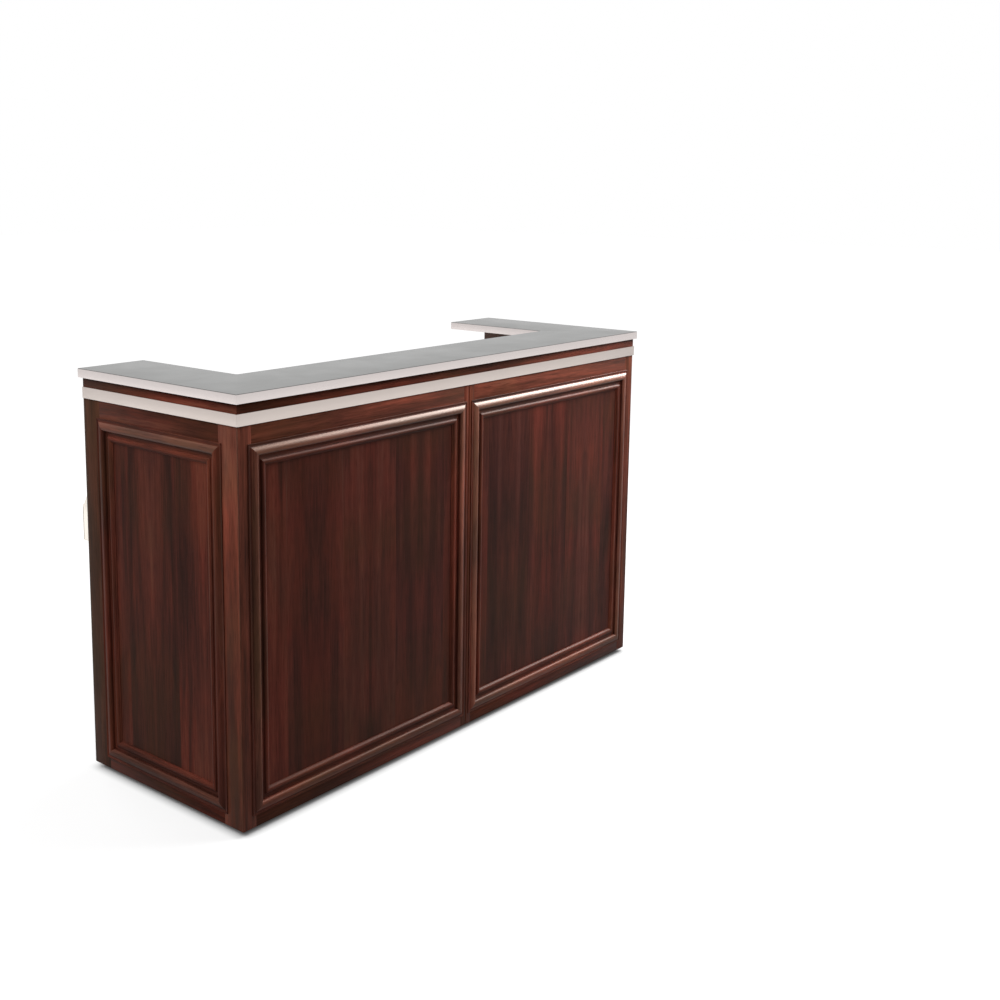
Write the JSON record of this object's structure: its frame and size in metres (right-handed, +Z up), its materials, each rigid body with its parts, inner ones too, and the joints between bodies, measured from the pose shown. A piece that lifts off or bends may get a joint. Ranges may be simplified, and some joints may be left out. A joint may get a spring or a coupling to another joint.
{
  "type": "portable bar",
  "caption": "Portable bar counter with a panelled wooden shell, a U-shaped steel top, a steel worktop with an ice bin, cupboard doors, open bays, bottle rails and casters.",
  "frame": {"origin": "on the floor, under the middle of the whole bar's box", "axes": "+X to the customer's right along the front, +Y to the working side at the rear, +Z up"},
  "size_m": [1.82, 0.732, 1.15],
  "materials": {
    "mahogany": "stained veneer, satin lacquer",
    "mahogany_panel": "stained veneer, satin lacquer",
    "moulding": "glossy lacquer",
    "counter_steel": "brushed",
    "strip": "satin",
    "core_board": "raw board",
    "lining": "dark laminate, satin",
    "edge_band": "grey edge band, satin",
    "bay_board": "dark laminate, matt",
    "taupe_board": "laminate with a fine grain, satin",
    "work_steel": "polished brushed sheet",
    "foam": "foam board, matt",
    "nickel": "satin nickel",
    "hinge_steel": "zinc plated",
    "zinc": "zinc plated",
    "wheel": "moulded, matt"
  },
  "bodies": {
    "root": {"backsplash": "work_steel", "caster_plates": "zinc", "caster_screws": "zinc", "counter_core": "core_board", "counter_top": "counter_steel", "deck": "bay_board", "drain_spigot": "work_steel", "end_edge_bands": "edge_band", "end_frame_left": "mahogany", "end_frame_right": "mahogany", "end_linings": "lining", "end_mouldings": "moulding", "end_panels": "mahogany_panel", "front_frame_left": "mahogany", "front_frame_right": "mahogany", "front_lining": "lining", "front_mouldings": "moulding", "front_panels": "mahogany_panel", "hinge_fixed_leaves": "hinge_steel", "hinge_pins": "hinge_steel", "ice_bin": "work_steel", "ice_bin_jacket": "foam", "light_strip": "strip", "lock_body": "nickel", "lock_nut": "hinge_steel", "partition_left": "bay_board", "partition_right": "bay_board", "rail_studs": "hinge_steel", "rear_rail": "taupe_board", "shelf_runners": "bay_board", "top_band": "mahogany", "worktop": "work_steel", "worktop_core": "core_board", "worktop_rail": "core_board"},
    "door_left": {"door_left": "taupe_board", "hinge_leaves_left": "hinge_steel", "door_knob_left": "nickel"},
    "door_right": {"door_right": "taupe_board", "hinge_leaves_right": "hinge_steel", "door_knob_right": "nickel"},
    "lock": {"lock_plug": "nickel", "lock_cam": "hinge_steel"},
    "speed_rail_left": {"speed_rail_left": "work_steel"},
    "speed_rail_right": {"speed_rail_right": "work_steel"},
    "bay_shelf_left": {"bay_shelf_left": "bay_board"},
    "bay_shelf_right": {"bay_shelf_right": "bay_board"},
    "caster_swivel_front_left": {"caster_fork_front_left": "zinc", "caster_axle_front_left": "zinc"},
    "caster_wheel_front_left": {"caster_wheel_front_left": "wheel"},
    "caster_swivel_front_right": {"caster_fork_front_right": "zinc", "caster_axle_front_right": "zinc"},
    "caster_wheel_front_right": {"caster_wheel_front_right": "wheel"},
    "caster_swivel_rear_left": {"caster_fork_rear_left": "zinc", "caster_axle_rear_left": "zinc"},
    "caster_wheel_rear_left": {"caster_wheel_rear_left": "wheel"},
    "caster_swivel_rear_right": {"caster_fork_rear_right": "zinc", "caster_axle_rear_right": "zinc"},
    "caster_wheel_rear_right": {"caster_wheel_rear_right": "wheel"}
  },
  "joints": [
    {"name": "door_left_hinge", "type": "hinge", "parent": "root", "child": "door_left", "pos_m": [-0.349, 0.2775, 0.479], "axis": [0, 0, 1], "range_deg": [0, 95]},
    {"name": "door_right_hinge", "type": "hinge", "parent": "root", "child": "door_right", "pos_m": [0.349, 0.2775, 0.479], "axis": [0, 0, -1], "range_deg": [0, 95]},
    {"name": "lock_turn", "type": "hinge", "parent": "root", "child": "lock", "pos_m": [0, 0.2526, 0.868], "axis": [0, 1, 0], "range_deg": [0, 90]},
    {"name": "speed_rail_left_lift", "type": "slide", "parent": "root", "child": "speed_rail_left", "axis": [0, 0, 1], "range_m": [0, 0.014]},
    {"name": "speed_rail_right_lift", "type": "slide", "parent": "root", "child": "speed_rail_right", "axis": [0, 0, 1], "range_m": [0, 0.014]},
    {"name": "bay_shelf_left_slide", "type": "slide", "parent": "root", "child": "bay_shelf_left", "axis": [0, 1, 0], "range_m": [0, 0.3]},
    {"name": "bay_shelf_right_slide", "type": "slide", "parent": "root", "child": "bay_shelf_right", "axis": [0, 1, 0], "range_m": [0, 0.3]},
    {"name": "caster_swivel_front_left", "type": "hinge", "parent": "root", "child": "caster_swivel_front_left", "pos_m": [-0.77, -0.226, 0.0877], "axis": [0, 0, 1], "continuous": true},
    {"name": "caster_roll_front_left", "type": "hinge", "parent": "caster_swivel_front_left", "child": "caster_wheel_front_left", "pos_m": [-0.745, -0.226, 0.0375], "axis": [0, 1, 0], "continuous": true},
    {"name": "caster_swivel_front_right", "type": "hinge", "parent": "root", "child": "caster_swivel_front_right", "pos_m": [0.77, -0.226, 0.0877], "axis": [0, 0, 1], "continuous": true},
    {"name": "caster_roll_front_right", "type": "hinge", "parent": "caster_swivel_front_right", "child": "caster_wheel_front_right", "pos_m": [0.795, -0.226, 0.0375], "axis": [0, 1, 0], "continuous": true},
    {"name": "caster_swivel_rear_left", "type": "hinge", "parent": "root", "child": "caster_swivel_rear_left", "pos_m": [-0.77, 0.144, 0.0877], "axis": [0, 0, 1], "continuous": true},
    {"name": "caster_roll_rear_left", "type": "hinge", "parent": "caster_swivel_rear_left", "child": "caster_wheel_rear_left", "pos_m": [-0.745, 0.144, 0.0375], "axis": [0, 1, 0], "continuous": true},
    {"name": "caster_swivel_rear_right", "type": "hinge", "parent": "root", "child": "caster_swivel_rear_right", "pos_m": [0.77, 0.144, 0.0877], "axis": [0, 0, 1], "continuous": true},
    {"name": "caster_roll_rear_right", "type": "hinge", "parent": "caster_swivel_rear_right", "child": "caster_wheel_rear_right", "pos_m": [0.795, 0.144, 0.0375], "axis": [0, 1, 0], "continuous": true}
  ]
}
